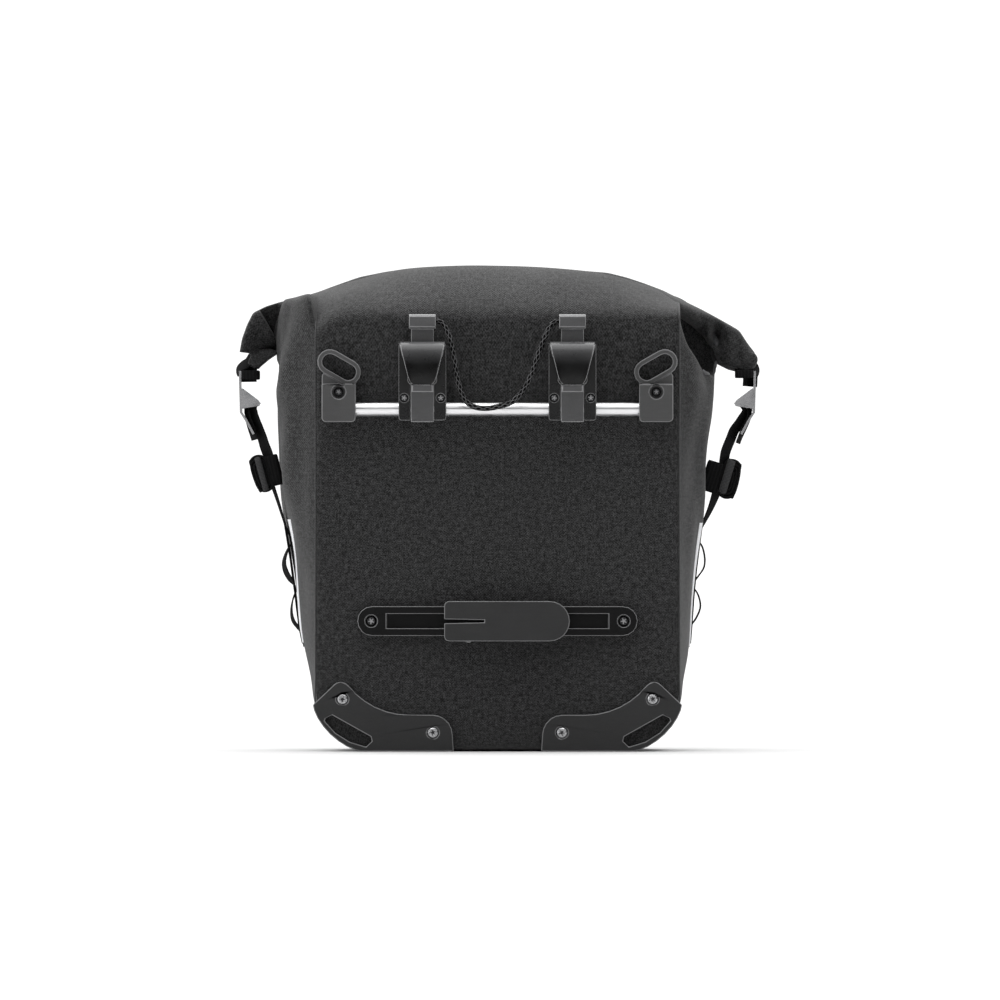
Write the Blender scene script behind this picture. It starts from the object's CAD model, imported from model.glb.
"""Looks for the roll-top bicycle pannier: fabric skin, webbing, cord, hardware finishes, light and camera.

Lengths are in metres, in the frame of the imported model: X across the bag, Y from the bicycle side to
the outer side, Z up. A "reach" is a distance outward from the back panel, towards the bicycle.
"""

import math

import bmesh
import bpy
import numpy as np
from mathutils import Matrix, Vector, noise
from mathutils.bvhtree import BVHTree


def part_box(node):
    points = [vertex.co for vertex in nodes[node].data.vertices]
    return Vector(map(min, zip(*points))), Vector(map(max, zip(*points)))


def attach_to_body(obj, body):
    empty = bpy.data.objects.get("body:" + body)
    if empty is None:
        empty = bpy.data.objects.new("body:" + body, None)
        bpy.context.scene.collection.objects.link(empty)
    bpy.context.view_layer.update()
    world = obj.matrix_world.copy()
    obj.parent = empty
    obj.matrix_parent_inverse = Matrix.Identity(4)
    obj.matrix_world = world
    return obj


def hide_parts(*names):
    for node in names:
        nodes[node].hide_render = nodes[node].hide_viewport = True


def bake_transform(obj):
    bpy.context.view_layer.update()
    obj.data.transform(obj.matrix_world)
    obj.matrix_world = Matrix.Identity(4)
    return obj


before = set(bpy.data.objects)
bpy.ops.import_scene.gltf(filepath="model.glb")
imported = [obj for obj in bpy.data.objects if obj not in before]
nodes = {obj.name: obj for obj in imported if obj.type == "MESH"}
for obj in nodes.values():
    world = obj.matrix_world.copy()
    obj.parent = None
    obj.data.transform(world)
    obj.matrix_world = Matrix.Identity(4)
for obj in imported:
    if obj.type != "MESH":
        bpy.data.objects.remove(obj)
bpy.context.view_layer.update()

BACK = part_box("bag_body")[0].y
ROLL_Y = (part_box("roll_tab_left")[0].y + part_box("roll_tab_left")[1].y) / 2
LEFT, RIGHT = -1, 1
SIDES = ((LEFT, "left"), (RIGHT, "right"))


def reach(distance):
    return BACK - distance


def ramp(value, low, span):
    """0 up to low, 1 from low + span on, and a straight rise between."""
    return min(1.0, max(0.0, (value - low) / span))


def value_at(table, key):
    """A table of (key, value) rows, read between its rows."""
    return float(np.interp(key, [k for k, _ in table], [v for _, v in table]))


def around(count):
    """The angles of so many equal steps round a circle."""
    return [2 * math.pi * k / count for k in range(count)]


def squared_off(value, power):
    """A sine or cosine, swelled so that the outline it draws is squarer than a circle."""
    return math.copysign(abs(value) ** power, value)


# ---- camera, floor and light

VIEW_WIDTH = 0.8636  # across the picture at the back panel
CAMERA_DISTANCE = 12.0
CAMERA_X, CAMERA_Z = 0.0022, 0.2168


def placed(name, data, location=(0, 0, 0), rotation=(0, 0, 0)):
    """A new object in the scene."""
    made = bpy.data.objects.new(name, data)
    made.location = location
    made.rotation_euler = rotation
    bpy.context.scene.collection.objects.link(made)
    return made


def aimed(heading):
    return Vector(heading).to_track_quat("-Z", "Y").to_euler()


def make_camera():
    camera = bpy.data.cameras.new("camera")
    camera.sensor_width = 36.0
    camera.lens = 36.0 * CAMERA_DISTANCE / VIEW_WIDTH
    camera.clip_start, camera.clip_end = 0.5, 100.0
    place = (CAMERA_X, BACK - CAMERA_DISTANCE, CAMERA_Z)
    bpy.context.scene.camera = placed("camera", camera, place, (math.radians(90), 0, 0))


def area_light(name, place, target, size, watts):
    light = bpy.data.lights.new(name, "AREA")
    light.shape = "RECTANGLE"
    light.size, light.size_y = size
    light.energy = watts
    placed(name, light, place, aimed(Vector(target) - Vector(place)))


FLOOR_TONE, FLOOR_HALF, FLOOR_DROP = 0.56, 40.0, 0.0004
OVERHEAD_STRENGTH, OVERHEAD_SPREAD, OVERHEAD_HEADING = 3.6, 75, (0.05, -0.10, -1.0)
SKY_BEHIND, SKY_TOP, SKY_FRONT, SKY_LEFT = 1.15, 0.95, 0.15, 0.35


class Tree:
    """A node tree, and the node chains that the sky and all the looks here are made of."""

    def __init__(self, tree):
        self.tree = tree

    def node(self, kind, **values):
        made = self.tree.nodes.new(kind)
        for key, value in values.items():
            setattr(made, key, value)
        return made

    def link(self, a, b):
        self.tree.links.new(a, b)

    def math(self, operation, first, second=None, third=None):
        made = self.node("ShaderNodeMath", operation=operation)
        for slot, value in zip(made.inputs, (first, second, third)):
            if isinstance(value, (int, float)):
                slot.default_value = value
            elif value is not None:
                self.link(value, slot)
        return made.outputs[0]

    def split(self, vector):
        made = self.node("ShaderNodeSeparateXYZ")
        self.link(vector, made.inputs[0])
        return made.outputs

    def spread(self, value, low, high, out_low=0.0, out_high=1.0, interpolation="LINEAR"):
        made = self.node("ShaderNodeMapRange", interpolation_type=interpolation)
        for slot, number in zip(made.inputs[1:5], (low, high, out_low, out_high)):
            slot.default_value = number
        self.link(value, made.inputs[0])
        return made.outputs[0]


def make_sky():
    """White behind the bag, a bright ceiling, and a darker room on the camera's side for contrast."""
    world = bpy.data.worlds.new("studio")
    bpy.context.scene.world = world
    world.use_nodes = True
    sky = Tree(world.node_tree)
    background = sky.tree.nodes["Background"]
    background.inputs["Color"].default_value = (1, 1, 1, 1)
    x, y, z = sky.split(sky.node("ShaderNodeTexCoord").outputs["Generated"])
    glows = (
        (y, -0.10, 0.35, SKY_BEHIND),
        (z, 0.30, 0.62, SKY_TOP),
        (sky.math("MULTIPLY", x, -1.0), 0.35, 0.85, SKY_LEFT),
    )
    behind, ceiling, left = (
        sky.math("MULTIPLY", sky.spread(value, low, high, interpolation="SMOOTHSTEP"), strength)
        for value, low, high, strength in glows
    )
    room = sky.math("MAXIMUM", sky.math("ADD", left, SKY_FRONT), ceiling)
    sky.link(sky.math("MAXIMUM", room, behind), background.inputs["Strength"])


def make_studio():
    floor_mesh = bpy.data.meshes.new("floor")
    corners = [(u * FLOOR_HALF, v * FLOOR_HALF, 0) for u, v in ((-1, -1), (1, -1), (1, 1), (-1, 1))]
    floor_mesh.from_pydata(corners, [], [(0, 1, 2, 3)])
    floor = placed("floor", floor_mesh, (0, 0, -FLOOR_DROP))
    paper = Shade("floor_paper", (FLOOR_TONE, FLOOR_TONE, FLOOR_TONE), 0.9)
    floor_mesh.materials.append(paper.material)
    make_sky()
    overhead = bpy.data.lights.new("overhead", "SUN")
    overhead.energy = OVERHEAD_STRENGTH
    overhead.angle = math.radians(OVERHEAD_SPREAD)
    placed("overhead", overhead, rotation=aimed(OVERHEAD_HEADING))
    area_light("left_light", (-1.9, -0.9, 0.8), (-0.1, -0.02, 0.25), (0.7, 1.3), 9)
    bpy.context.scene.view_settings.view_transform = "Standard"


# ---- materials


class Shade(Tree):
    """A Principled material."""

    def __init__(self, name, colour, roughness, metallic=0.0, sheen=0.0, specular=0.5):
        self.material = bpy.data.materials.new(name)
        self.material.use_nodes = True
        super().__init__(self.material.node_tree)
        self.shader = self.tree.nodes["Principled BSDF"]
        self.shader.inputs["Base Color"].default_value = (*colour, 1)
        self.shader.inputs["Roughness"].default_value = roughness
        self.shader.inputs["Metallic"].default_value = metallic
        self.shader.inputs["Specular IOR Level"].default_value = specular
        if sheen:
            self.shader.inputs["Sheen Weight"].default_value = sheen
            self.shader.inputs["Sheen Roughness"].default_value = 0.45
        self.colour = colour
        self.heights = []

    def uv(self):
        return self.node("ShaderNodeUVMap", uv_map="cloth").outputs[0]

    def place(self):
        return self.node("ShaderNodeTexCoord").outputs["Object"]

    def scaled(self, vector, scale):
        made = self.node("ShaderNodeMapping")
        made.inputs["Scale"].default_value = scale
        self.link(vector, made.inputs["Vector"])
        return made.outputs[0]

    def noise(self, vector, scale, detail=2.0, rough=0.5):
        made = self.node("ShaderNodeTexNoise")
        made.inputs["Scale"].default_value = scale
        made.inputs["Detail"].default_value = detail
        made.inputs["Roughness"].default_value = rough
        self.link(vector, made.inputs["Vector"])
        return made.outputs["Fac"]

    def wave(self, value, pitch):
        return self.math("SINE", self.math("MULTIPLY", value, 2 * math.pi / pitch))

    def vary(self, factor, field, amount, middle=0.5):
        """The factor, moved up and down by how far a field is from its middle."""
        return self.math("MULTIPLY_ADD", self.math("SUBTRACT", field, middle), amount, factor)

    def tint(self, factor):
        """Multiplies the base colour by a factor."""
        made = self.node("ShaderNodeVectorMath", operation="SCALE")
        made.inputs[0].default_value = self.colour
        self.link(factor, made.inputs["Scale"])
        self.link(made.outputs[0], self.shader.inputs["Base Color"])

    def rough(self, value, low, high):
        self.link(self.spread(value, 0.3, 0.7, low, high), self.shader.inputs["Roughness"])

    def bump(self, height, distance, strength=1.0):
        made = self.node("ShaderNodeBump")
        made.inputs["Distance"].default_value = distance
        made.inputs["Strength"].default_value = strength
        self.link(height, made.inputs["Height"])
        if self.heights:
            self.link(self.heights[-1], made.inputs["Normal"])
        self.heights.append(made.outputs[0])
        self.link(made.outputs[0], self.shader.inputs["Normal"])


def cloth_shade(name, colour, pitch, mottle, bump=0.00012, roughness=0.72, sheen=0.10):
    """Plain weave in two slightly different yarns."""
    shade = Shade(name, colour, roughness, sheen=sheen, specular=0.28)
    across, along, _ = shade.split(shade.uv())
    weave = shade.math("MULTIPLY", shade.wave(across, pitch), shade.wave(along, pitch))
    yarn_u = shade.noise(shade.scaled(shade.uv(), (1 / pitch, 180, 1)), 1.0, 1.0)
    yarn_v = shade.noise(shade.scaled(shade.uv(), (180, 1 / pitch, 1)), 1.0, 1.0)
    broad = shade.noise(shade.place(), 14.0, 3.0)
    factor = shade.math("MULTIPLY_ADD", weave, 0.50, 1.0)
    factor = shade.vary(factor, shade.math("ADD", yarn_u, yarn_v), mottle * 2.2, 1.0)
    factor = shade.vary(factor, shade.noise(shade.uv(), 820.0, 2.0), mottle * 5.0)
    shade.tint(shade.vary(factor, broad, 0.30))
    shade.bump(weave, bump)
    shade.rough(broad, roughness - 0.06, roughness + 0.08)
    return shade


def webbing_shade(name, colour, pitch_u, pitch_v, bump=0.00007):
    """Ribbed narrow weave: rows of slanted ribs along the strap."""
    shade = Shade(name, colour, 0.8, sheen=0.02, specular=0.0)
    across, along, _ = shade.split(shade.uv())
    slant = shade.math("MULTIPLY_ADD", across, 0.8, along)
    height = shade.math("MULTIPLY_ADD", shade.wave(slant, pitch_v), 0.6, shade.wave(across, pitch_u))
    factor = shade.math("MULTIPLY_ADD", height, 0.18, 1.0)
    shade.tint(shade.vary(factor, shade.noise(shade.uv(), 1500.0, 2.0), 1.1))
    shade.bump(height, bump)
    return shade


def braid_shade(name, colour, strands, pitch):
    """Crossing strands, lighter on their crowns."""
    shade = Shade(name, colour, 0.6, sheen=0.02, specular=0.04)
    u, v, _ = shade.split(shade.uv())
    round_it = shade.math("MULTIPLY", u, strands)
    along = shade.math("MULTIPLY", v, 2 * math.pi / pitch)
    first = shade.math("SINE", shade.math("ADD", round_it, along))
    second = shade.math("SINE", shade.math("SUBTRACT", round_it, along))
    shade.tint(shade.spread(shade.math("MAXIMUM", first, second), 0.72, 1.0, 0.10, 34.0))
    return shade


GRAIN, GRAIN_SCALE, WEAR = 0.00002, 1400.0, 0.25


def plastic_shade(name, colour, roughness, specular=0.3, fade=None):
    """Fine grain, with faint handling marks. A fade is (v low, v high, factor low, factor high)."""
    shade = Shade(name, colour, roughness, specular=specular)
    fine = shade.noise(shade.place(), GRAIN_SCALE, 2.0)
    broad = shade.noise(shade.place(), 55.0, 4.0, 0.6)
    scuffs = shade.noise(shade.scaled(shade.place(), (60, 60, 420)), 1.0, 3.0)
    factor = shade.vary(shade.vary(1.0, broad, WEAR), fine, 0.5)
    factor = shade.vary(factor, scuffs, WEAR)
    if fade:
        factor = shade.math("MULTIPLY", factor, shade.spread(shade.split(shade.uv())[1], *fade))
    shade.tint(factor)
    shade.bump(fine, GRAIN)
    shade.rough(broad, roughness - 0.07, roughness + 0.10)
    return shade


def metal_shade(name, colour, roughness, stretch, grain=0.00001):
    """Drawn or brushed metal: streaks along one direction."""
    shade = Shade(name, colour, roughness, metallic=1.0)
    streaks = shade.noise(shade.scaled(shade.place(), stretch), 1.0, 3.0)
    broad = shade.noise(shade.place(), 70.0, 3.0)
    shade.tint(shade.vary(1.0, streaks, 0.25))
    if grain:
        shade.bump(streaks, grain)
    shade.rough(broad, max(0.05, roughness - 0.06), roughness + 0.10)
    return shade


def tape_shade(name):
    """Silver-white tape with fine glass beads."""
    shade = Shade(name, (0.80, 0.81, 0.83), 0.35, metallic=0.15)
    beads = shade.node("ShaderNodeTexVoronoi")
    beads.inputs["Scale"].default_value = 1800.0
    shade.link(shade.place(), beads.inputs["Vector"])
    shade.tint(shade.spread(beads.outputs["Distance"], 0.0, 0.7, 1.05, 0.85))
    shade.bump(beads.outputs["Distance"], GRAIN)
    return shade


PAD_FADE = (0.010, 0.032, 22.0, 1.0)  # a hook's moulded face is far lighter over its top


def make_materials():
    looks = {
        "fabric": cloth_shade("bag_cloth", (0.0178, 0.0178, 0.0182), 0.0023, 1.15),
        "lining": cloth_shade("bag_lining", (0.060, 0.061, 0.064), 0.0010, 0.10, 0.00004, 0.5),
        "webbing": webbing_shade("webbing", (0.0105, 0.0105, 0.0108), 0.0030, 0.0016),
        "cord": braid_shade("cord_braid", (0.0036, 0.0036, 0.0037), 5 / CORD_RADIUS, 0.0075),
        "elastic": webbing_shade("elastic", (0.052, 0.052, 0.053), 0.0012, 0.0030),
        "plastic": plastic_shade("black_plastic", (0.0050, 0.0050, 0.0053), 0.27, 0.38),
        "matt_plastic": plastic_shade("matt_plastic", (0.0215, 0.0215, 0.022), 0.40, 0.32),
        "track_plastic": plastic_shade("track_plastic", (0.0032, 0.0032, 0.0034), 0.36, 0.16),
        "gloss_plastic": plastic_shade("gloss_plastic", (0.0032, 0.0032, 0.0033), 0.28, 0.24, PAD_FADE),
        "edge": plastic_shade("burnished_edge", (0.150, 0.150, 0.153), 0.34, 0.5),
        "fine_edge": plastic_shade("fine_edge", (0.070, 0.070, 0.072), 0.34, 0.5),
        "light_edge": plastic_shade("light_edge", (0.24, 0.24, 0.245), 0.34, 0.5),
        "piping": cloth_shade("piping_cloth", (0.045, 0.045, 0.046), 0.0015, 0.30),
        "cap_plastic": plastic_shade("cap_plastic", (0.055, 0.055, 0.0555), 0.36, 0.40),
        "grey_plastic": plastic_shade("grey_plastic", (0.074, 0.074, 0.076), 0.40),
        "tube": metal_shade("drawn_tube", (0.80, 0.80, 0.81), 0.34, (8, 400, 400), 0.0),
        "steel": metal_shade("plated_steel", (0.46, 0.46, 0.47), 0.16, (500, 60, 500)),
        "black_steel": metal_shade("black_steel", (0.05, 0.05, 0.052), 0.30, (400, 400, 400)),
        "stripe": tape_shade("reflective_tape"),
    }
    return {key: shade.material for key, shade in looks.items()}


# ---- mesh helpers


def cloth_object(name, points, faces, uvs, materials):
    """A mesh with its weave's UV map, in metres along the cloth."""
    mesh = bpy.data.meshes.new(name)
    mesh.from_pydata([tuple(p) for p in points], [], faces)
    layer = mesh.uv_layers.new(name="cloth")
    corner = 0
    for face_uv in uvs:
        for uv in face_uv:
            layer.data[corner].uv = uv
            corner += 1
    for material in materials:
        mesh.materials.append(material)
    mesh.shade_smooth()
    return placed(name, mesh)


def grid_object(name, rows, materials, closed=False):
    """A grid of points (rows of columns). UVs follow the mean length along rows and columns."""
    rows = np.array(rows, float)
    count_r, count_c = rows.shape[:2]
    if closed:
        rows = np.concatenate([rows, rows[:, :1]], axis=1)
    step_u = np.linalg.norm(np.diff(rows, axis=1), axis=2).mean(axis=0)
    step_v = np.linalg.norm(np.diff(rows, axis=0), axis=2).mean(axis=1)
    u = np.concatenate([[0], np.cumsum(step_u)])
    v = np.concatenate([[0], np.cumsum(step_v)])
    points = (rows[:, :count_c] if closed else rows).reshape(-1, 3)
    faces, uvs = [], []
    for r in range(count_r - 1):
        for c in range(len(u) - 1):
            here, there = r * count_c, (r + 1) * count_c
            c2 = (c + 1) % count_c
            faces.append((here + c, here + c2, there + c2, there + c))
            uvs.append(((u[c], v[r]), (u[c + 1], v[r]), (u[c + 1], v[r + 1]), (u[c], v[r + 1])))
    return cloth_object(name, points, faces, uvs, materials)


def finish_cloth(obj, levels=1, thickness=0.0, offset=-1.0, second_material=0):
    """Rounds a mesh and, where a thickness is given, gives it two sides."""
    subdivide = obj.modifiers.new("smooth", "SUBSURF")
    subdivide.levels = subdivide.render_levels = levels
    if thickness:
        solid = obj.modifiers.new("thickness", "SOLIDIFY")
        solid.thickness = thickness
        solid.offset = offset
        solid.material_offset = second_material
    apply_modifiers(obj)


def apply_modifiers(obj):
    graph = bpy.context.evaluated_depsgraph_get()
    mesh = bpy.data.meshes.new_from_object(obj.evaluated_get(graph))
    obj.modifiers.clear()
    old = obj.data
    obj.data = mesh
    bpy.data.meshes.remove(old)
    obj.data.name = obj.name


def catmull(points, count):
    """count points, evenly spaced by parameter, on a smooth curve through these."""
    points = np.array(points, float)
    out = []
    last = len(points) - 1
    for t in np.linspace(0, last, count):
        i = min(int(t), last - 1)
        f = t - i
        a, b = points[max(i - 1, 0)], points[i]
        c, d = points[i + 1], points[min(i + 2, last)]
        cubic = 2 * b + (c - a) * f + (2 * a - 5 * b + 4 * c - d) * f * f + (3 * b - a - 3 * c + d) * f**3
        out.append(0.5 * cubic)
    return np.array(out)


def hermite(start, start_heading, end, end_heading, count):
    """count points from start to end, which leave and arrive along these headings."""
    start, leave, end, arrive = (np.array(p, float) for p in (start, start_heading, end, end_heading))
    out = []
    for t in np.linspace(0, 1, count):
        ends = (2 * t**3 - 3 * t**2 + 1) * start + (t**3 - 2 * t**2 + t) * leave
        out.append(ends + (3 * t**2 - 2 * t**3) * end + (t**3 - t**2) * arrive)
    return np.array(out)


def lengths_along(route):
    return np.concatenate([[0], np.cumsum(np.linalg.norm(np.diff(route, axis=0), axis=1))])


def spots_along(route, spots):
    """The points of a route at these lengths from its start."""
    lengths = lengths_along(route)
    return np.array([[np.interp(t, lengths, route[:, i]) for i in range(3)] for t in spots])


def heading_at(line, i):
    heading = line[min(i + 1, len(line) - 1)] - line[max(i - 1, 0)]
    return heading / np.linalg.norm(heading)


def cap_ends(obj):
    """Closes the open ends of a tube."""
    shape = bmesh.new()
    shape.from_mesh(obj.data)
    bmesh.ops.holes_fill(shape, edges=[e for e in shape.edges if e.is_boundary])
    bmesh.ops.recalc_face_normals(shape, faces=shape.faces[:])
    shape.to_mesh(obj.data)
    shape.free()


def closed_tube(name, rings, material):
    made = grid_object(name, rings, [material], closed=True)
    cap_ends(made)
    return made


def joined(name, pieces):
    """One object out of several, with their materials and UVs kept."""
    with bpy.context.temp_override(
        active_object=pieces[0], selected_objects=pieces, selected_editable_objects=pieces
    ):
        bpy.ops.object.join()
    pieces[0].name = name
    pieces[0].data.name = name
    return pieces[0]


def attach(piece, body, node):
    """Puts a piece on its body, in the place of a CAD node."""
    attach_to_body(piece, body)
    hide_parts(node)


# ---- the pull cord

CORD_RADIUS, CORD_ROWS, CORD_SIDES = 0.0023, 340, 24
STRAND_PITCH, STRANDS = 0.0115, 4  # the length from one strand to the next, and how many wind each way
CORD_ROUTE = (  # (x, reach, z)
    (-0.0565, 0.0190, 0.3712),
    (-0.0515, 0.0190, 0.3710),
    (-0.0464, 0.0198, 0.3678),
    (-0.0410, 0.0212, 0.3560),
    (-0.0367, 0.0222, 0.3342),
    (-0.0341, 0.0227, 0.3187),
    (-0.0289, 0.0230, 0.3049),
    (-0.0220, 0.0232, 0.2980),
    (-0.0108, 0.0232, 0.2958),
    (0.0022, 0.0232, 0.2978),
    (0.0134, 0.0230, 0.3020),
    (0.0229, 0.0228, 0.3126),
    (0.0298, 0.0226, 0.3264),
    (0.0350, 0.0221, 0.3420),
    (0.0410, 0.0210, 0.3572),
    (0.0464, 0.0198, 0.3678),
    (0.0515, 0.0190, 0.3710),
    (0.0565, 0.0190, 0.3712),
)


def make_cord(material):
    """A braided cord: two sets of strands wind round it in opposite directions."""
    route = catmull([(x, reach(d), z) for x, d, z in CORD_ROUTE], 400)
    total = lengths_along(route)[-1]
    line = spots_along(route, np.linspace(0, total, CORD_ROWS))
    up = np.array((0.0, -1.0, 0.0))
    rings = []
    for i, spot in enumerate(line):
        heading = heading_at(line, i)
        first = up - heading * (up @ heading)
        first /= np.linalg.norm(first)
        second = np.cross(heading, first)
        twist = 2 * math.pi * (total * i / (CORD_ROWS - 1)) / STRAND_PITCH
        ring = []
        for angle in around(CORD_SIDES):
            crown = max(math.sin(STRANDS * angle + twist), math.sin(STRANDS * angle - twist))
            radius = CORD_RADIUS * (0.93 + 0.12 * crown)
            ring.append(spot + radius * (math.cos(angle) * first + math.sin(angle) * second))
        rings.append(ring)
    cord = closed_tube("cord", rings, material)
    attach(cord, "latch_left", "pull_cord")


# ---- the fabric skin

WIDTHS = {  # half-width of each side by height
    LEFT: (
        (0.0, 0.157), (0.061, 0.159), (0.080, 0.1645), (0.100, 0.1690), (0.120, 0.1705),
        (0.150, 0.1728), (0.180, 0.1772), (0.200, 0.1815), (0.220, 0.1845), (0.250, 0.1868),
        (0.280, 0.1878), (0.310, 0.1872), (0.332, 0.1862), (0.40, 0.187),
    ),
    RIGHT: (
        (0.0, 0.157), (0.061, 0.1585), (0.080, 0.1632), (0.100, 0.1646), (0.120, 0.1652),
        (0.150, 0.1672), (0.180, 0.1715), (0.200, 0.1742), (0.220, 0.1765), (0.250, 0.1795),
        (0.280, 0.1815), (0.300, 0.1850), (0.320, 0.1880), (0.335, 0.1893), (0.40, 0.190),
    ),
}
BACK_WIDTH = 0.157
BASE_CLEARANCE = 0.0013  # keeps the cloth's thickness above the floor
DEPTHS = ((0.0, 0.146), (0.045, 0.158), (0.174, 0.168), (0.303, 0.172), (0.345, 0.170), (0.4, 0.168))
BASE_FLAT, BASE_CORNER_HEIGHT, BASE_CORNER_POWER = 0.112, 0.042, 1.55
BACK_CORNER, FRONT_CORNER, GUSSET_FLAT = 0.0035, 0.045, 0.064
BODY_ROWS = (0.0, 0.0025, 0.007, 0.013, 0.021, 0.031, 0.044, 0.060, 0.080, 0.100, 0.122, 0.145, 0.170,
             0.195, 0.220, 0.245, 0.268, 0.290, 0.310)
BEND = 0.3715  # where the back panel's board ends and its cloth leans back to the roll
BACK_FRACTIONS = (0.0, 0.14, 0.28, 0.42, 0.56, 0.70, 0.82, 0.91, 0.965)
GUSSET_DEPTHS = (0.011, 0.020, 0.033, 0.046, 0.055, 0.062, 0.070, 0.080, 0.092, 0.104, 0.116)
RIDGE = GUSSET_DEPTHS[4]  # the cloth between the back panel and here folds up under each ear
COLLAR_ROWS, CREST_ROWS = 13, 4
SKIN, LINING_SIDE = 0.0013, 1  # the cloth's thickness, and its second material

# (outer x, outer z, inner x, inner z) of the rolled mouth, from the middle to the tip of each ear
STATIONS = {
    LEFT: (
        (0.0, 0.4200, 0.0, 0.3860), (0.040, 0.4200, 0.040, 0.3860), (0.072, 0.4190, 0.071, 0.3850),
        (0.096, 0.4158, 0.093, 0.3820), (0.120, 0.4110, 0.114, 0.3775), (0.144, 0.4026, 0.135, 0.3700),
        (0.160, 0.3966, 0.150, 0.3640), (0.176, 0.3922, 0.166, 0.3600), (0.1886, 0.3895, 0.178, 0.3570),
        (0.2010, 0.3855, 0.1855, 0.3525), (0.2125, 0.3800, 0.1905, 0.3460), (0.2180, 0.3690, 0.1925, 0.3450),
        (0.2222, 0.3570, 0.1945, 0.3440), (0.2242, 0.3455, 0.1965, 0.3425),
    ),
    RIGHT: (
        (0.0, 0.4200, 0.0, 0.3860), (0.040, 0.4192, 0.039, 0.3855), (0.072, 0.4166, 0.069, 0.3830),
        (0.096, 0.4146, 0.091, 0.3810), (0.112, 0.4106, 0.105, 0.3790), (0.128, 0.4052, 0.120, 0.3780),
        (0.144, 0.3990, 0.138, 0.3790), (0.160, 0.3908, 0.1545, 0.3790), (0.177, 0.3828, 0.1690, 0.3690),
        (0.194, 0.3738, 0.1800, 0.3590), (0.2105, 0.3645, 0.1865, 0.3480), (0.2180, 0.3530, 0.1900, 0.3360),
        (0.2236, 0.3456, 0.2010, 0.3305), (0.2258, 0.3405, 0.2100, 0.3285),
    ),
}
OUTER, INNER = 0, 2


def edge_height(side, x, edge):
    """The height of the rolled mouth's outer or inner edge, so far from the middle."""
    rows = np.array(STATIONS[side])
    return float(np.interp(abs(x), rows[:, edge], rows[:, edge + 1]))


def opened(width, height):
    """A half-width, drawn in round the base corner."""
    share = max(0.0, 1.0 - height / BASE_CORNER_HEIGHT)
    factor = (1.0 - share**BASE_CORNER_POWER) ** (1.0 / BASE_CORNER_POWER)
    return BASE_FLAT + (width - BASE_FLAT) * factor


def half_ring(side, height):
    """[(x, distance from the back panel, part)] from back middle to front middle."""
    back = opened(BACK_WIDTH, height)
    wide = opened(value_at(WIDTHS[side], height), height)
    depth = value_at(DEPTHS, height)
    ring = [(f * (back - BACK_CORNER), 0.0, "panel") for f in (*BACK_FRACTIONS, 1.0)]
    for angle in (40, 68, 90):
        a = math.radians(angle)
        x = back - BACK_CORNER + BACK_CORNER * math.sin(a)
        ring.append((x, BACK_CORNER - BACK_CORNER * math.cos(a), "seam"))
    for distance in GUSSET_DEPTHS:
        share = min(1.0, (distance - BACK_CORNER) / (GUSSET_FLAT - BACK_CORNER))
        bulge = math.sin(math.pi / 2 * share) ** 0.9
        ring.append((back + (wide - back) * bulge, distance, "gusset"))
    corner = min(FRONT_CORNER, wide * 0.9)
    for angle in (0, 22, 45, 68, 90):
        a = math.radians(angle)
        ring.append((wide - corner + corner * math.cos(a), depth - corner + corner * math.sin(a), "front"))
    for f in (0.8, 0.55, 0.3, 0.0):
        ring.append(((wide - corner) * f, depth, "front"))
    return ring


RIGHT_CREASE = (  # (x, z) along the lower edge of the pocket under the right ear
    (0.157, 0.372), (0.1602, 0.355), (0.1686, 0.3444), (0.177, 0.335), (0.1843, 0.3308), (0.1895, 0.3277),
)
RIGHT_LIP = ((0.157, 0.384), (0.170, 0.372), (0.185, 0.357), (0.190, 0.345))  # and its upper edge
MOUTH = {  # (x, z) of the gusset's far half: where it bends in, under the roll, and inside it
    LEFT: ((0.1862, 0.333), (0.1908, 0.3448), (0.194, 0.358)),
    RIGHT: ((0.1893, 0.3275), (0.1905, 0.338), (0.192, 0.350)),
}


def over_crest(x, crest):
    """The last rows: over the top of the roll and a little way down its outer side."""
    rows = []
    for angle in (-14, 10, 34, 56):
        a = math.radians(angle)
        y, z = ROLL_Y + 0.0135 * math.sin(a) * 1.02, crest - 0.0165 + 0.0168 * math.cos(a)
        rows.append(np.array((x, y, z)))
    return rows


def tucked(path):
    """A path without its first point, and the last rows, which end inside the roll."""
    x, y, z = path[-1]
    inside = [np.array((x, y + 0.0008 * i, z + 0.0012 * i)) for i in range(1, CREST_ROWS + 1)]
    return list(path[1:]) + inside


def panel_column(side, x, start):
    """Straight up to the board's top, then leaning back to the roll."""
    top_x = min(x, 0.1565)
    crest = edge_height(side, top_x, OUTER)
    end = (top_x, ROLL_Y - 0.011, crest - 0.0012)
    droop = 0.015 if side == LEFT else 0.0
    bend = BEND - droop * max(0.0, (x - 0.130) / 0.027) ** 2
    rise = [(x, start[1], z) for z in np.linspace(start[2], bend, 5)[1:]]
    lean = hermite(rise[-1], (0, 0, 0.050), end, (0, 0.095, 0.012), COLLAR_ROWS - 3)[1:]
    return rise + list(lean) + over_crest(top_x, crest)


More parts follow.
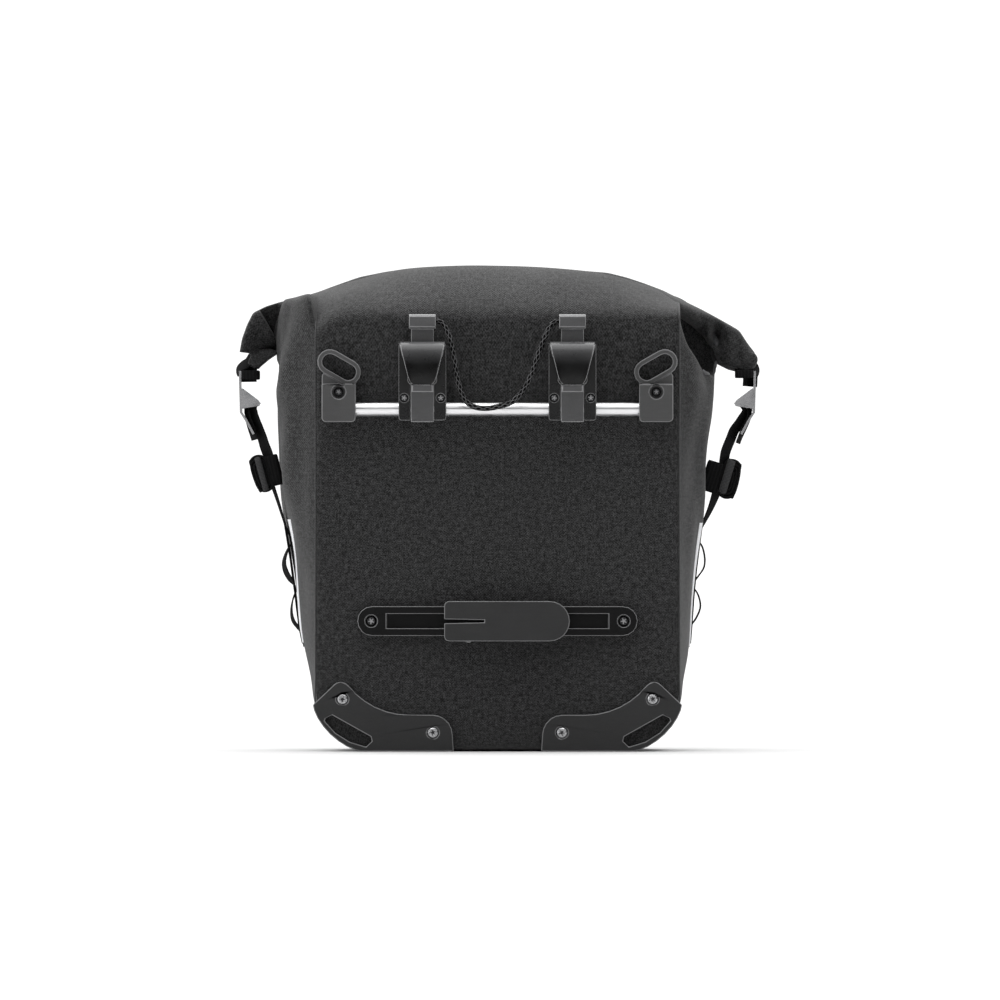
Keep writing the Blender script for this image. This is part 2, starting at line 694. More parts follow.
def left_flap_column(x, distance, start):
    """The near half of the left gusset, which spreads out to the ear and goes over the roll."""
    share = (distance - BACK_CORNER) / (RIDGE - BACK_CORNER)
    top_x = 0.1575 + (0.1880 - 0.1575) * share
    crest = edge_height(LEFT, top_x, OUTER)
    y = start[1]
    keys = [
        start,
        (x, y - 0.001, 0.335),
        (x + (top_x - x) * 0.2, y - 0.0010, 0.354),
        (x + (top_x - x) * 0.6, y - 0.0020, crest - 0.0200),
        (top_x, y - 0.0016, crest - 0.0050),
        (top_x, y + 0.008, crest - 0.0006),
        (top_x, (y + ROLL_Y) / 2, crest - 0.0004),
        (top_x, ROLL_Y - 0.011, crest - 0.0012),
    ]
    return list(catmull(keys, COLLAR_ROWS + 1)[1:]) + over_crest(top_x, crest)


def right_pocket_column(x, start):
    """The near half of the right gusset, which folds in under the ear as a pocket."""
    crease = value_at(RIGHT_CREASE, x)
    lip = value_at(RIGHT_LIP, x)
    y = start[1]
    keys = [
        start,
        (x, y, crease - 0.010),
        (x + 0.0006, y + 0.0015, crease - 0.001),
        (x - 0.0016, y + 0.0110, crease - 0.0030),
        (x - 0.0060, max(y + 0.034, 0.008), crease - 0.0085),
        (x - 0.0080, 0.030, crease - 0.0050),
        (x - 0.0060, 0.034, (crease + lip) / 2),
        (x - 0.0020, 0.031, lip + 0.006),
    ]
    return tucked(catmull(keys, COLLAR_ROWS + 1))


def far_gusset_column(side, start):
    bend, under, inside = MOUTH[side]
    y = start[1]
    towards = ROLL_Y - 0.002
    keys = [
        start,
        (bend[0] - 0.0006, y, bend[1] - 0.010),
        (bend[0], y * 0.5 + towards * 0.5, bend[1]),
        (under[0], towards, under[1]),
        (inside[0], towards + 0.001, inside[1]),
    ]
    return tucked(catmull(keys, COLLAR_ROWS + 1))


def front_column(side, x, start):
    top_x = min(x * 0.985, 0.176)
    end = (top_x, ROLL_Y + 0.007, edge_height(side, top_x, INNER) + 0.012)
    return tucked(hermite(start, (0, 0, 0.075), end, (0, -0.075, 0.030), COLLAR_ROWS + 1))


def collar(side, x, distance, part):
    """The path of one column of cloth from the rim to the roll, as (x, y, z) with x positive."""
    start = np.array((x, BACK + distance, BODY_ROWS[-1]))
    if part in ("panel", "seam"):
        return panel_column(side, x, start)
    if part == "front":
        return front_column(side, x, start)
    if distance > RIDGE:
        return far_gusset_column(side, start)
    return left_flap_column(x, distance, start) if side == LEFT else right_pocket_column(x, start)


def skin_rows():
    """All rows of the skin, from the floor up, each a closed ring of points."""
    halves = {}
    for side in (LEFT, RIGHT):
        rings = [half_ring(side, height) for height in BODY_ROWS]
        columns = []
        for i, (x, distance, part) in enumerate(rings[-1]):
            column = [(ring[i][0], BACK + ring[i][1], height) for ring, height in zip(rings, BODY_ROWS)]
            column += collar(side, x, distance, part)
            columns.append([np.array((side * p[0], p[1], p[2])) for p in column])
        halves[side] = columns
    right, left = halves[RIGHT], halves[LEFT]
    ring = right + left[-2:0:-1]
    for shared, other in ((right[0], left[0]), (right[-1], left[-1])):
        for p, q in zip(shared, other):
            p[:] = (p + q) / 2
    return np.array(ring).transpose(1, 0, 2)


def wrinkle(point, size, seed, stretch=(1, 1, 1)):
    spot = Vector([c * s / size + seed for c, s in zip(point, stretch)])
    return noise.noise(spot)


def sag(rows):
    """Gentle folds and hollows in the cloth, none on the stiff back panel where the hardware sits."""
    across = np.roll(rows, -1, axis=1) - np.roll(rows, 1, axis=1)
    upward = np.zeros_like(rows)
    upward[1:-1] = rows[2:] - rows[:-2]
    upward[0], upward[-1] = rows[1] - rows[0], rows[-1] - rows[-2]
    normals = np.cross(across, upward)
    normals /= np.maximum(np.linalg.norm(normals, axis=2, keepdims=True), 1e-9)
    out = rows.copy()
    for r, c in np.ndindex(rows.shape[:2]):
        p = rows[r, c]
        broad = wrinkle(p, 0.070, 3.1, (1, 1, 0.40)) * 0.0046
        fine = wrinkle(p, 0.028, 9.7, (1, 1, 0.45)) * 0.0022
        crease = (0.22 - abs(wrinkle(p, 0.036, 6.1, (1, 1, 0.34)))) * 0.0200
        on_gusset = ramp(abs(p[0]), 0.158, 0.010) * ramp(p[2], 0.13, 0.06)
        beside_strap = 1.0 - math.exp(-(((p[1] - ROLL_Y) / 0.020) ** 2))
        fold = broad + fine + crease * on_gusset * beside_strap
        free = ramp(p[1] - BACK, 0.006, 0.030) * ramp(p[2], 0.0, 0.04) * (1 - 0.65 * ramp(p[2], 0.36, 0.02))
        out[r, c] = p + normals[r, c] * fold * free
    return out


def make_skin(looks):
    rows = sag(skin_rows())
    base = rows[0]
    centre = np.array((0.0, base[:, 1].mean(), 0.0))
    floor_rows = [centre + (base - centre) * f for f in (0.15, 0.5, 0.8, 0.95)]
    rows = np.concatenate([np.array(floor_rows), rows])
    rows[..., 2] = np.maximum(rows[..., 2], BASE_CLEARANCE)
    skin = grid_object("bag_skin", rows, [looks["fabric"], looks["lining"]], closed=True)
    shape = bmesh.new()
    shape.from_mesh(skin.data)
    shape.verts.ensure_lookup_table()
    count = rows.shape[1]
    layer = shape.loops.layers.uv["cloth"]
    cap = shape.faces.new([shape.verts[i] for i in range(count)][::-1])
    cap.smooth = True
    for loop in cap.loops:
        loop[layer].uv = (loop.vert.co.x, loop.vert.co.y)
    bmesh.ops.recalc_face_normals(shape, faces=shape.faces[:])
    shape.to_mesh(skin.data)
    shape.free()
    finish_cloth(skin, levels=2, thickness=SKIN, second_material=LINING_SIDE)
    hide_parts("bag_body")
    return skin


# ---- the rolled mouth

ROLL_TURNS, ROLL_STEPS = 2.7, 34
ROLL_START = 40.0  # degrees past the crest, on the outer side
EAR_LEAN = {LEFT: 0.0155, RIGHT: 0.0015}  # how far each ear tips away from the bicycle at its foot
LEFT_FOLD = 10  # the station where the left ear's front layer starts
RECESS_DEPTH, FOLD_DEPTH = 0.0005, 0.0125
EAR_START = (0.150, 0.040)  # where the roll begins to narrow into an ear, and over what length


def back_depth(side, station, x):
    """How far the roll swells towards the bicycle at this place along it."""
    depth = 0.0128 - 0.0026 * ramp(x, *EAR_START)
    if side == LEFT and 8.0 < station < LEFT_FOLD - 0.4:
        depth = RECESS_DEPTH
    if side == LEFT and station >= LEFT_FOLD - 0.4:
        depth = FOLD_DEPTH - 0.0015 * (station - LEFT_FOLD)
    if side == RIGHT:
        depth += 0.044 * max(0.0, 1.0 - abs(x - 0.158) / 0.030) ** 1.4
    return depth


def roll_sections(side):
    """(outer, inner, half-depth to the back, half-depth to the front) along the roll, well sampled."""
    keys = np.array(STATIONS[side])
    last = len(keys) - 1
    steps = sorted({*np.arange(0, last + 0.01, 0.25), LEFT_FOLD - 0.45, LEFT_FOLD - 0.38, LEFT_FOLD - 0.30})
    sections = []
    for station in steps:
        i = min(int(station), last - 1)
        x0, z0, x1, z1 = keys[i] + (keys[i + 1] - keys[i]) * (station - i)
        front = 0.0135 - 0.0035 * ramp(x0, *EAR_START)
        sections.append(((x0, z0), (x1, z1), back_depth(side, station, x0), front))
    return sections


def roll_row(side, section):
    """One spiral through the roll, from its outer end inwards."""
    (x0, z0), (x1, z1), back, front = section
    middle = np.array(((x0 + x1) / 2, (z0 + z1) / 2))
    rise = np.array((x0 - x1, z0 - z1)) / 2
    lean = EAR_LEAN[side] * ramp(x0, 0.180, 0.020)
    points = []
    for i in range(int(ROLL_STEPS * ROLL_TURNS) + 1):
        turn = i / ROLL_STEPS
        angle = math.radians(ROLL_START) + 2 * math.pi * turn
        shrink = 1.0 - 0.05 * min(turn, 1.0) - 0.32 * max(0.0, turn - 1.0)
        up = squared_off(math.cos(angle), 0.85) * shrink
        away = squared_off(math.sin(angle), 0.85) * shrink
        depth = front if away > 0 else (back if turn < 0.98 else min(back, 0.0105))
        spot = middle + rise * up
        points.append((side * spot[0], ROLL_Y + away * depth - lean * up, spot[1]))
    return points


HOLLOW, LIP = (0.1900, 0.3600), (0.1835, 0.3620)  # (x, z) of a dent in the right ear and of its raised edge


def dent(spot, centre, width, height):
    return math.exp(-(((spot[0] - centre[0]) / width) ** 2) - ((spot[1] - centre[1]) / height) ** 2)


def crumple(rows):
    """Soft dents and gathers towards the ears."""
    out = rows.copy()
    for r, c in np.ndindex(rows.shape[:2]):
        p = rows[r, c]
        ear = ramp(abs(p[0]), 0.150, 0.035)
        fine = wrinkle(p, 0.060, 1.9, (0.5, 1, 1)) * 0.0010
        out[r, c, 1] += wrinkle(p, 0.022, 5.3) * 0.0026 * ear + fine
        out[r, c, 2] += fine * 0.5
        if p[0] > 0.15 and p[1] < ROLL_Y:
            spot = (p[0], p[2])
            out[r, c, 1] += 0.0190 * dent(spot, HOLLOW, 0.0060, 0.0090)
            out[r, c, 1] -= 0.0110 * dent(spot, LIP, 0.0030, 0.0110)
            out[r, c, 1] += 0.0016 * math.sin((p[0] - 0.190) * 420) * ear
    return out


EAR_FOLDS = {  # (x, z) round the small fold that hangs under each ear, over the webbing
    LEFT: (
        (0.2153, 0.3405), (0.2170, 0.3364), (0.2150, 0.3330), (0.2084, 0.3308), (0.2057, 0.3330),
        (0.1985, 0.3390), (0.1912, 0.3446), (0.1960, 0.3480), (0.2060, 0.3480), (0.2140, 0.3450),
    ),
    RIGHT: (
        (0.2010, 0.3325), (0.2105, 0.3303), (0.2157, 0.3250), (0.2205, 0.3285), (0.2245, 0.3335),
        (0.2264, 0.3385), (0.2252, 0.3428), (0.2215, 0.3455), (0.2140, 0.3440), (0.2060, 0.3400),
    ),
}
FOLD_RINGS = (  # (distance from the middle of the roll, size) of each ring through that fold
    (-0.0100, 0.10), (-0.0099, 0.60), (-0.0094, 0.86), (-0.0078, 0.97),
    (-0.0040, 1.0), (0.0040, 1.0), (0.0080, 0.92), (0.0095, 0.5),
)


def ear_fold(side, material):
    outline = np.array(EAR_FOLDS[side])
    outline = catmull(np.concatenate([outline, outline[:1]]), 60)[:-1]
    centre = outline.mean(axis=0)
    rows = []
    for y, scale in FOLD_RINGS:
        ring = centre + (outline - centre) * scale
        rows.append([(side * x, ROLL_Y + y, z) for x, z in ring])
    return closed_tube("fold", rows, material)


def make_roll(looks):
    left = [roll_row(LEFT, s) for s in roll_sections(LEFT)]
    right = [roll_row(RIGHT, s) for s in roll_sections(RIGHT)]
    rows = crumple(np.array(left[::-1] + right[1:]))
    roll = grid_object("rolled_mouth", rows, [looks["fabric"], looks["lining"]])
    finish_cloth(roll, thickness=SKIN, offset=0.0)
    roll = joined("rolled_mouth", [roll, *(ear_fold(side, looks["fabric"]) for side, _ in SIDES)])
    attach(roll, "roll_top", "roll_closure")


# ---- straps

STRAP_WIDTH, WEBBING = 0.020, 0.0016


RIBBON_EDGE = (-1.0, -0.97, -0.85, -0.5, 0.0, 0.5, 0.85, 0.97, 1.0)  # places across half a section
RIBBON_STEP = 0.0022


def ribbon_section(width, thickness):
    """A flat section with rounded, slightly thicker edges."""
    half, thick = width / 2, thickness / 2
    outline = []
    for u in RIBBON_EDGE:
        outline.append((half * u, thick * (1.0 - abs(u) ** 14) + thick * 0.16 * (abs(u) > 0.8)))
    return outline + [(u, -v) for u, v in outline[-2:0:-1]]


def ribbon(name, side, keys, material, width=STRAP_WIDTH, thickness=WEBBING, count=None, waves=0.0):
    """Webbing along keys of (x, z, twist): its width lies along Y, turned by the twist in degrees."""
    route = catmull([(side * k[0], ROLL_Y, k[1]) for k in keys], 8 * len(keys))
    lengths = lengths_along(route)
    spots = np.linspace(0, lengths[-1], count or max(12, int(lengths[-1] / RIBBON_STEP)))
    line = spots_along(route, spots)
    marks = np.interp(np.linspace(0, len(keys) - 1, len(route)), range(len(keys)), [k[2] for k in keys])
    twists = np.interp(spots, lengths, marks)
    outline = ribbon_section(width, thickness)
    flat = np.array((0.0, 1.0, 0.0))
    rows = []
    for i, spot in enumerate(line):
        heading = heading_at(line, i)
        angle = math.radians(twists[i]) * side
        across = math.cos(angle) * flat + math.sin(angle) * np.cross(heading, flat)
        face = np.cross(heading, across)
        shift = waves * wrinkle(spot, 0.009, 4.4 + side)
        rows.append([spot + across * u + face * (v + shift) for u, v in outline])
    return closed_tube(name, rows, material)


TABS = {  # (x, z, twist) from inside the ear downwards
    LEFT: ((0.2110, 0.3440, 20), (0.2140, 0.3370, 35), (0.2160, 0.3290, 42), (0.2162, 0.3195, 42)),
    RIGHT: ((0.2170, 0.3400, 20), (0.2195, 0.3340, 34), (0.2202, 0.3250, 38), (0.2196, 0.3155, 38)),
}
TAB_WRAPS = {
    LEFT: (
        (0.2150, 0.3380, 20), (0.2200, 0.3345, 24), (0.2240, 0.3315, 18), (0.2256, 0.3280, 8),
        (0.2248, 0.3245, 4),
    ),
    RIGHT: (
        (0.2190, 0.3370, 20), (0.2230, 0.3335, 22), (0.2252, 0.3305, 16), (0.2260, 0.3275, 8),
        (0.2250, 0.3240, 4),
    ),
}
TAB_BLOCKS = {  # where the tab is sewn round the buckle's upper bar: centre, half-width, half-length, lean
    LEFT: ((0.2156, 0.3255), 0.0090, 0.0040, 0.0),
    RIGHT: ((0.2156, 0.3265), 0.0090, 0.0036, 0.0),
}
TAB_WIDTH = 0.0258
UPPERS = {  # the loaded webbing, from the buckle's bar to its roll
    LEFT: (
        (0.2095, 0.3030, 18), (0.2135, 0.2995, 30), (0.2148, 0.2940, 36), (0.2110, 0.2850, 30),
        (0.2070, 0.2770, 24), (0.2038, 0.2680, 25), (0.2012, 0.2600, 27), (0.1985, 0.2520, 26),
        (0.1960, 0.2420, 20),
    ),
    RIGHT: (
        (0.2095, 0.3030, 16), (0.2150, 0.2995, 24), (0.2172, 0.2940, 26), (0.2120, 0.2855, 25),
        (0.2060, 0.2770, 25), (0.2020, 0.2680, 25), (0.1992, 0.2600, 25), (0.1970, 0.2500, 24),
        (0.1950, 0.2400, 20),
    ),
}
SECOND_LAYERS = {
    LEFT: (
        (0.2175, 0.2950, 8), (0.2172, 0.2890, 14), (0.2145, 0.2800, 18), (0.2125, 0.2740, 18),
        (0.2112, 0.2690, 16),
    ),
    RIGHT: (
        (0.2190, 0.2950, 8), (0.2185, 0.2880, 10), (0.2145, 0.2790, 12), (0.2110, 0.2710, 10),
        (0.2092, 0.2660, 10),
    ),
}
LOWERS = {
    LEFT: (
        (0.1975, 0.2340, 12), (0.1945, 0.2260, 7), (0.1905, 0.2140, 5), (0.1868, 0.2020, 3),
        (0.1830, 0.1905, 1), (0.1775, 0.1805, 0),
    ),
    RIGHT: (
        (0.1945, 0.2340, 28), (0.1915, 0.2260, 24), (0.1860, 0.2110, 14), (0.1800, 0.1980, 6),
        (0.1758, 0.1890, 1), (0.1757, 0.1795, 0),
    ),
}
TAIL_ROLLS = {  # centre, half-width, half-length, lean outwards at the top in degrees
    LEFT: ((0.2055, 0.2392), 0.0088, 0.0172, 19.0),
    RIGHT: ((0.2022, 0.2345), 0.0092, 0.0182, 14.0),
}
ELASTICS = {  # centre, half-width, half-length, lean
    LEFT: ((0.2050, 0.2394), 0.0027, 0.0152, 15.5),
    RIGHT: ((0.1995, 0.2372), 0.0036, 0.0150, 17.0),
}
PADS = {  # the folded end beside the roll: centre, half-width, half-length, lean
    LEFT: ((0.1952, 0.2425), 0.0068, 0.0135, 13.0),
    RIGHT: ((0.1885, 0.2365), 0.0095, 0.0135, 17.0),
}
LOOPS = {  # (x, z, twist) of each loop of the daisy chain, from its upper stitching down
    LEFT: (
        (
            (0.1800, 0.1778, 0), (0.1831, 0.1722, 4), (0.1857, 0.1630, 9), (0.1843, 0.1550, 13),
            (0.1805, 0.1480, 12), (0.1768, 0.1430, 3), (0.1752, 0.1370, 0),
        ),
        (
            (0.1750, 0.1380, 0), (0.1778, 0.1310, 0), (0.1793, 0.1210, 4), (0.1778, 0.1120, 8),
            (0.1735, 0.1060, 8), (0.1702, 0.1010, 2), (0.1680, 0.0950, 0),
        ),
    ),
    RIGHT: (
        (
            (0.1757, 0.1800, 0), (0.1785, 0.1755, 0), (0.1804, 0.1660, 0), (0.1796, 0.1580, 0),
            (0.1758, 0.1520, 1), (0.1718, 0.1465, 2), (0.1708, 0.1420, 0),
        ),
        (
            (0.1706, 0.1400, 0), (0.1738, 0.1360, 0), (0.1764, 0.1280, 0), (0.1760, 0.1210, 0),
            (0.1722, 0.1130, 0), (0.1680, 0.1070, 1), (0.1668, 0.1010, 0),
        ),
    ),
}
KNOBS = {LEFT: (0.1674, 0.0904), RIGHT: (0.1656, 0.0947)}
TAPE_NEAR, TAPE_FAR = {LEFT: 0.0485, RIGHT: 0.0505}, 0.0565  # its edges' distances from the back panel
TAPE_LOW, TAPE_HIGH = {LEFT: 0.093, RIGHT: 0.089}, {LEFT: 0.200, RIGHT: 0.197}


def gusset_at(side, height, distance):
    """How far out the cloth lies there."""
    start = Vector((side * 0.30, BACK + distance, height))
    spot = skin_tree.ray_cast(start, Vector((-side, 0, 0)))[0]
    return abs(spot.x)


def leaned(centre, lean, u, v):
    """(x, z) of a spot u across and v up a block that leans outwards at its top by so many degrees."""
    a = math.radians(lean)
    return centre[0] + u * math.cos(a) + v * math.sin(a), centre[1] - u * math.sin(a) + v * math.cos(a)


TAIL_TURNS, TAIL_STEPS = 3, 20


def tail_roll(name, side, material):
    """The strap's spare end, wound flat: a spiral, seen end on from the bicycle side."""
    centre, half, length, lean = TAIL_ROLLS[side]
    keys = []
    for i in range(TAIL_TURNS * TAIL_STEPS + 1):
        turn = i / TAIL_STEPS
        angle = 2 * math.pi * turn + 0.6
        shrink = (1.0 - 0.27 * turn) * (0.80 + 0.20 * min(1.0, turn * 4))
        straight = math.copysign((length - half) * (1 - 0.1 * turn), math.sin(angle))
        u = half * shrink * math.cos(angle)
        v = half * shrink * math.sin(angle) + straight * min(1.0, abs(math.sin(angle)) * 2.2)
        keys.append((*leaned(centre, lean, u, v), 0))
    return ribbon(name, side, keys, material, count=170, thickness=0.0023)


BAND_SECTION = (  # (place across the half-width, swell) round an elastic band's section
    (-1, 0.0), (-0.9, 0.0007), (-0.3, 0.0010), (0.3, 0.0010),
    (0.9, 0.0007), (1, 0.0), (0.6, -0.0008), (-0.6, -0.0008),
)


def elastic_band(name, side, material):
    """A band round the wound end, along its length."""
    centre, half, length, lean = ELASTICS[side]
    depth = STRAP_WIDTH / 2 + 0.0012
    rows = []
    for angle in around(48):
        y = squared_off(math.cos(angle), 0.28) * depth
        v = squared_off(math.sin(angle), 0.45) * length
        ring = []
        for u, grow in BAND_SECTION:
            x, z = leaned(centre, lean, u * half, v * (1.0 + grow / length))
            ring.append((side * x, ROLL_Y + y * (1.0 + grow / depth), z))
        rows.append(ring)
    rows.append(rows[0])
    return grid_object(name, rows, [material], closed=True)


def pad(name, side, material, shape, depth=0.0098):
    """A rounded block of folded webbing, with its layers showing."""
    centre, half, length, lean = shape
    rows = []
    for v in np.linspace(-1, 1, 17):
        squeeze = (1 - abs(v) ** 7) ** 0.5 * 0.10 + 0.90
        ring = []
        for angle in around(36):
            c, s = math.cos(angle), math.sin(angle)
            layers = 1.0 + 0.012 * math.sin(5.5 * c * math.pi)
            x, z = leaned(centre, lean, squared_off(c, 0.5) * half * squeeze, v * length)
            y = squared_off(s, 0.35) * depth * squeeze * layers
            rough = 1.0 + 0.05 * wrinkle((side * x, ROLL_Y + y, z), 0.004, 7.7)
            ring.append((side * x, ROLL_Y + y * rough, z))
        rows.append(ring)
    return closed_tube(name, rows, material)


def knob(name, side, material):
    """The heat-cut end of the daisy chain."""
    x, z = KNOBS[side]
    keys = ((x + 0.0006, z + 0.0040, 0), (x + 0.0002, z + 0.0010, 0), (x, z - 0.0012, 0))
    return ribbon(name, side, keys, material, thickness=0.0030, count=8)


def chain_base(name, side, material):
    """The webbing that the loops are sewn to, lying on the cloth."""
    keys = [
        (max(gusset_at(side, z, d) for d in (0.082, 0.092, 0.102)) + 0.0014, z, 0)
        for z in (0.092, 0.105, 0.120, 0.135, 0.150, 0.165, 0.180, 0.196)
    ]
    return ribbon(name, side, keys, material, thickness=0.0018)


def reflective_tape(name, side, material):
    """A thin strip that follows the cloth beside the daisy chain."""
    near_edge = TAPE_NEAR[side]
    rows = []
    for z in np.linspace(TAPE_LOW[side], TAPE_HIGH[side], 44):
        near, far = gusset_at(side, z, near_edge), gusset_at(side, z, TAPE_FAR)
        section = (
            (near - 0.0004, near_edge),
            (near + 0.0005, near_edge),
            ((near + far) / 2 + 0.0008, (near_edge + TAPE_FAR) / 2),
            (far + 0.0009, TAPE_FAR),
            (far - 0.0004, TAPE_FAR),
        )
        rows.append([(side * x, BACK + distance, z) for x, distance in section])
    return closed_tube(name, rows, material)


def make_tab(side, label, web):
    """The webbing on an ear that the buckle hooks."""
    parts = [
        ribbon("a", side, TABS[side], web, thickness=0.0026, waves=0.0006),
        ribbon("b", side, TAB_WRAPS[side], web),
        pad("c", side, web, TAB_BLOCKS[side], TAB_WIDTH / 2),
    ]
    attach(joined(f"ear_tab_{label}", parts), "roll_top", f"roll_tab_{label}")


def make_strap(side, label, web):
    """The side strap, from the buckle's bar down to its stitching."""
    parts = [
        ribbon("a", side, UPPERS[side], web, waves=0.0005),
        ribbon("b", side, SECOND_LAYERS[side], web, width=0.0190),
        ribbon("c", side, LOWERS[side], web),
    ]
    attach(joined(f"strap_{label}", parts), f"strap_{label}", f"side_strap_{label}")


def make_tail(side, label, looks):
    """The strap's wound spare end with its folded tip, and the elastic round it."""
    web = looks["webbing"]
    centre, half, length, lean = TAIL_ROLLS[side]
    core = (centre, half * 0.80, length * 0.86, lean)
    parts = [tail_roll("a", side, web), pad("b", side, web, PADS[side]), pad("c", side, web, core, 0.0078)]
    attach(joined(f"tail_{label}", parts), f"strap_{label}", f"strap_tail_{label}")
    band = elastic_band(f"keeper_{label}", side, looks["elastic"])
    attach(band, f"strap_{label}", f"tail_keeper_{label}")


def make_chain(side, label, web):
    """The daisy chain on the gusset."""
    parts = [ribbon(f"l{i}", side, keys, web, thickness=0.0013) for i, keys in enumerate(LOOPS[side])]
    parts += [chain_base("base", side, web), knob("knob", side, web)]
    attach(joined(f"chain_{label}", parts), "bag", f"daisy_chain_{label}")


def make_straps(looks):
    for side, label in SIDES:
        make_tab(side, label, looks["webbing"])
        make_strap(side, label, looks["webbing"])
        make_tail(side, label, looks)
        make_chain(side, label, looks["webbing"])
        tape = reflective_tape(f"tape_{label}", side, looks["stripe"])
        attach(tape, "bag", f"reflective_stripe_{label}")


# ---- hardware


EDGE_ANGLE = 28  # edges sharper than this, in degrees, are eased


def dress_node(name, material, bevel, edge=None, flatten=True):
    """A CAD node with its edges eased, and burnished where an edge material is given."""
    obj = nodes[name]
    obj.data.materials.clear()
    obj.data.materials.append(material)
    weld = obj.modifiers.new("weld", "WELD")
    weld.merge_threshold = 0.00001
    if not bevel:
        return
    if flatten:
        flats = obj.modifiers.new("flats", "DECIMATE")
        flats.decimate_type = "DISSOLVE"
        flats.angle_limit = math.radians(1.0)
    ease = obj.modifiers.new("ease", "BEVEL")
    ease.width = bevel
    ease.segments = 2
    ease.limit_method = "ANGLE"
    ease.angle_limit = math.radians(EDGE_ANGLE)
    ease.use_clamp_overlap = False
    if edge:
        obj.data.materials.append(edge)
        ease.material = 1


HOOKS = (-0.0647, 0.0647)
PAD_PROFILE = (  # (reach, z) down the front of a hook's arm
    (0.0270, 0.3532), (0.0320, 0.3529), (0.0360, 0.3521), (0.0395, 0.3503),
    (0.0422, 0.3474), (0.0440, 0.3436), (0.0452, 0.3390), (0.0460, 0.3335),
    (0.0464, 0.3270), (0.0462, 0.3215), (0.0455, 0.3178), (0.0436, 0.3157),
)
PAD_RIM, PAD_HOLLOW, PAD_HOLLOW_TOP, PAD_TURN_IN = 0.0006, 0.0009, 0.345, 0.0030
PAD_HALF_WIDTHS = (  # by height
    (0.3157, 0.0066), (0.3168, 0.0088), (0.3190, 0.0108), (0.3238, 0.0127), (0.3325, 0.0149),
    (0.3433, 0.0177), (0.3500, 0.0191), (0.3540, 0.0194),
)
PAD_COLUMNS = (-1.0, -0.99, -0.965, -0.93, -0.70, -0.35, 0.0, 0.35, 0.70, 0.93, 0.965, 0.99, 1.0)


def make_hook_pad(name, centre, looks):
    """The moulded face of a hook's arm: rounded over at the top, with a raised rim round it."""
    route = catmull([(reach(d), z, 0) for d, z in PAD_PROFILE], 48)
    rows = []
    for i, (y, z, _) in enumerate(route):
        half = value_at(PAD_HALF_WIDTHS, z)
        near_end = min(1.0, (len(route) - 1 - i) / 3)
        depth = PAD_HOLLOW * ramp(PAD_HOLLOW_TOP - z, 0.0, 0.012)
        row = []
        for u in PAD_COLUMNS:
            rim = (PAD_RIM if 0.95 < abs(u) < 0.995 else 0.0) * near_end
            turn_in = PAD_TURN_IN if abs(u) == 1.0 else 0.0
            hollow = depth * max(0.0, 1 - (u / 0.93) ** 2)
            row.append((centre + u * half, y - rim + turn_in + hollow, z))
        rows.append(row)
    rows.append([(x, y + PAD_TURN_IN, z + 0.0004) for x, y, z in rows[-1]])
    face_of_arm = grid_object(name, rows, [looks["gloss_plastic"], looks["light_edge"]])
    per_row = len(PAD_COLUMNS) - 1
    rim_columns = (0, 1, per_row - 2, per_row - 1)
    for face in face_of_arm.data.polygons:
        row, column = divmod(face.index, per_row)
        if (column in rim_columns and row > 12) or row >= len(rows) - 3:
            face.material_index = 1
    finish_cloth(face_of_arm)
    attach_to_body(face_of_arm, "bag")


SCREW_MARKS = (  # (x, reach, z, size, turn in degrees) of each drive, mirrored to both sides
    (0.1339, 0.00505, 0.0449, 0.0023, 20),
    (0.0557, 0.00505, 0.0159, 0.0023, 50),
)
LIGHT_MARKS = (  # the same, for the black screws, whose drives catch the light
    (0.1090, 0.00750, 0.1123, 0.0026, 35),
    (0.0805, 0.01925, 0.3048, 0.0024, 10),
    (0.0489, 0.01925, 0.3048, 0.0024, 60),
    (0.1370, 0.01560, 0.3100, 0.0020, 15),
)
MARK_ARMS, ARM_POINTS, MARK_DEPTH = 5, 4, 0.0004


def star(x, z, size, turn):
    """(x, z) round a drive with several short arms."""
    ring = []
    for k, angle in enumerate(around(MARK_ARMS * ARM_POINTS)):
        radius = size * (1.0 if k % ARM_POINTS in (0, 1) else 0.48)
        ring.append((x + radius * math.cos(turn + angle), z + radius * math.sin(turn + angle)))
    return ring


def make_screw_marks(name, marks, material):
    """The drives of the exposed screws, as low domed stars."""
    shape = bmesh.new()
    for side, _ in SIDES:
        for x, distance, z, size, turn in marks:
            ring = star(side * x, z, size, math.radians(turn) * side)
            front = [shape.verts.new((u, reach(distance), v)) for u, v in ring]
            rear = [shape.verts.new((u, reach(distance) + MARK_DEPTH, v)) for u, v in ring]
            middle = shape.verts.new((side * x, reach(distance - 0.0003), z))
            for i in range(len(ring)):
                j = (i + 1) % len(ring)
                shape.faces.new((front[i], front[j], middle))
                shape.faces.new((rear[j], rear[i], front[i], front[j])[::-1])
            shape.faces.new(rear)
    bmesh.ops.recalc_face_normals(shape, faces=shape.faces[:])
    mesh = bpy.data.meshes.new(name)
    shape.to_mesh(mesh)
    shape.free()
    mesh.materials.append(material)
    made = placed(name, mesh)
    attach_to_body(made, "bag")


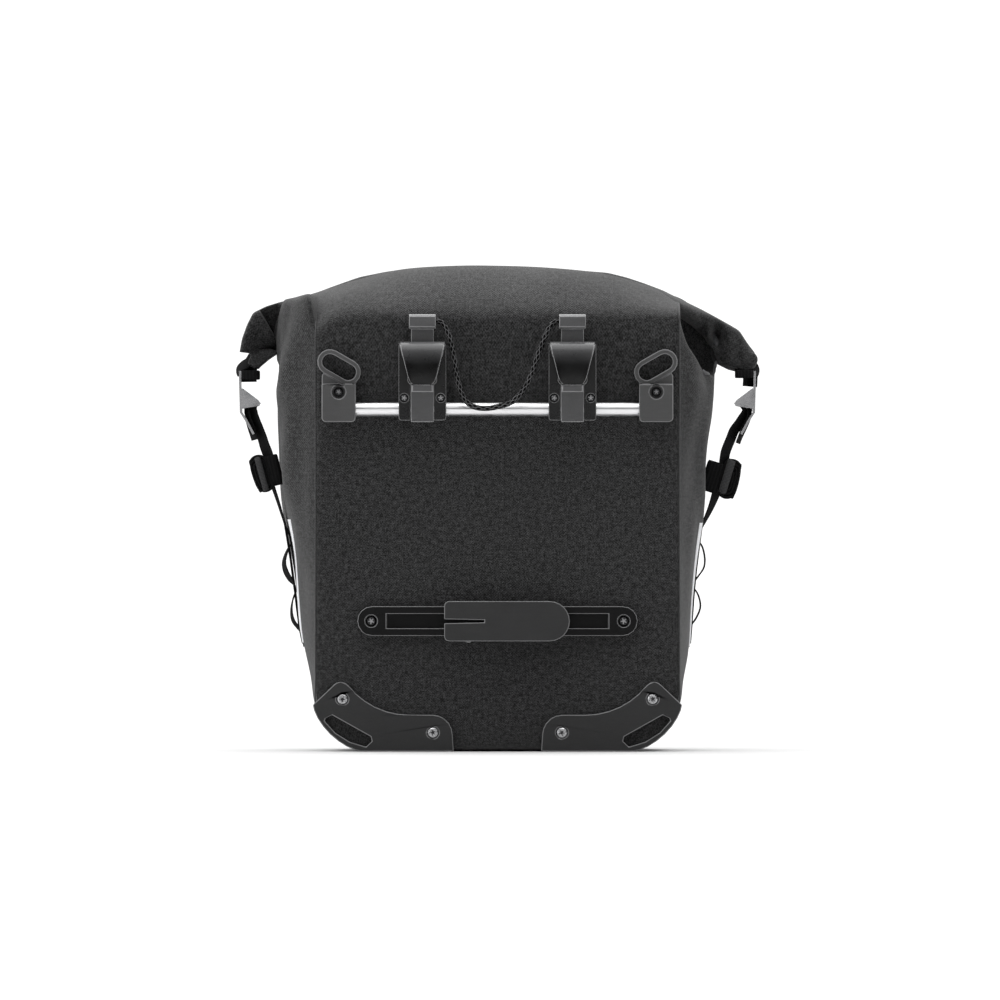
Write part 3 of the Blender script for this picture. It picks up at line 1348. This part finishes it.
SIDE_FINISHES = (  # node, look, bevel, look of its eased edges
    ("end_cap", "cap_plastic", 0.0008, "edge"),
    ("hook_base", "plastic", 0.0005, "edge"),
    ("hook_clamp", "plastic", 0.0003, "fine_edge"),
    ("latch", "grey_plastic", 0.0006, "light_edge"),
    ("corner_protector", "matt_plastic", 0.0008, "edge"),
    ("buckle", "steel", 0.0, None),
    ("end_cap_screw", "black_steel", 0.0002, None),
    ("track_screw", "black_steel", 0.0002, None),
    ("protector_screw_upper", "steel", 0.0002, None),
    ("protector_screw_lower", "steel", 0.0002, None),
    ("hook_screw_inner", "black_steel", 0.0002, None),
    ("hook_screw_outer", "black_steel", 0.0002, None),
)
MIDDLE_FINISHES = (
    ("rail_tube", "tube", 0.0002, None),
    ("lower_track", "track_plastic", 0.0006, "edge"),
    ("lower_carriage", "track_plastic", 0.0003, None),
    ("lower_arm", "matt_plastic", 0.0007, "edge"),
    ("back_board", "plastic", 0.0, None),
)
FACETS_KEPT = ("latch", "corner_protector")  # merging these nodes' flat faces first spoils their bevels


def dress_hardware(looks):
    for _, label in SIDES:
        for node, look, bevel, edge in SIDE_FINISHES:
            dress_node(f"{node}_{label}", looks[look], bevel, looks.get(edge), node not in FACETS_KEPT)
    for node, look, bevel, edge in MIDDLE_FINISHES:
        dress_node(node, looks[look], bevel, looks.get(edge))
    for centre, (_, label) in zip(HOOKS, SIDES):
        make_hook_pad(f"hook_pad_{label}", centre, looks)
    make_screw_marks("screw_recesses", SCREW_MARKS, looks["black_steel"])
    make_screw_marks("screw_glints", LIGHT_MARKS, looks["light_edge"])


# ---- seams


PIPING = {LEFT: 0.00055, RIGHT: 0.0008}  # its radius
PIPING_SHIFT = (0.0004, -0.0002)  # outwards and towards the bicycle from the cloth's edge
PIPING_FOOT = 0.003


def make_piping(looks):
    """The welted seam down each back corner, from the skin's own edge."""
    rows = skin_rows()
    index = len(BACK_FRACTIONS) + 2
    for side, label in SIDES:
        line = rows[:, index if side == RIGHT else rows.shape[1] - index]
        line = [p for p in line if p[2] > PIPING_FOOT][: len(BODY_ROWS) + COLLAR_ROWS - 2]
        out, near = side * PIPING_SHIFT[0], PIPING_SHIFT[1]
        radius = PIPING[side]
        rings = []
        for x, y, z in catmull(line, 150):
            turns = [(radius * math.cos(a), radius * math.sin(a)) for a in around(8)]
            rings.append([(x + out + u, y + near + v, z) for u, v in turns])
        piping = closed_tube(f"piping_{label}", rings, looks["piping"])
        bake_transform(piping)


make_camera()
looks = make_materials()
make_cord(looks["cord"])
make_studio()
dress_hardware(looks)
skin = make_skin(looks)
skin_tree = BVHTree.FromObject(skin, bpy.context.evaluated_depsgraph_get())
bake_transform(skin)
make_piping(looks)
make_roll(looks)
make_straps(looks)
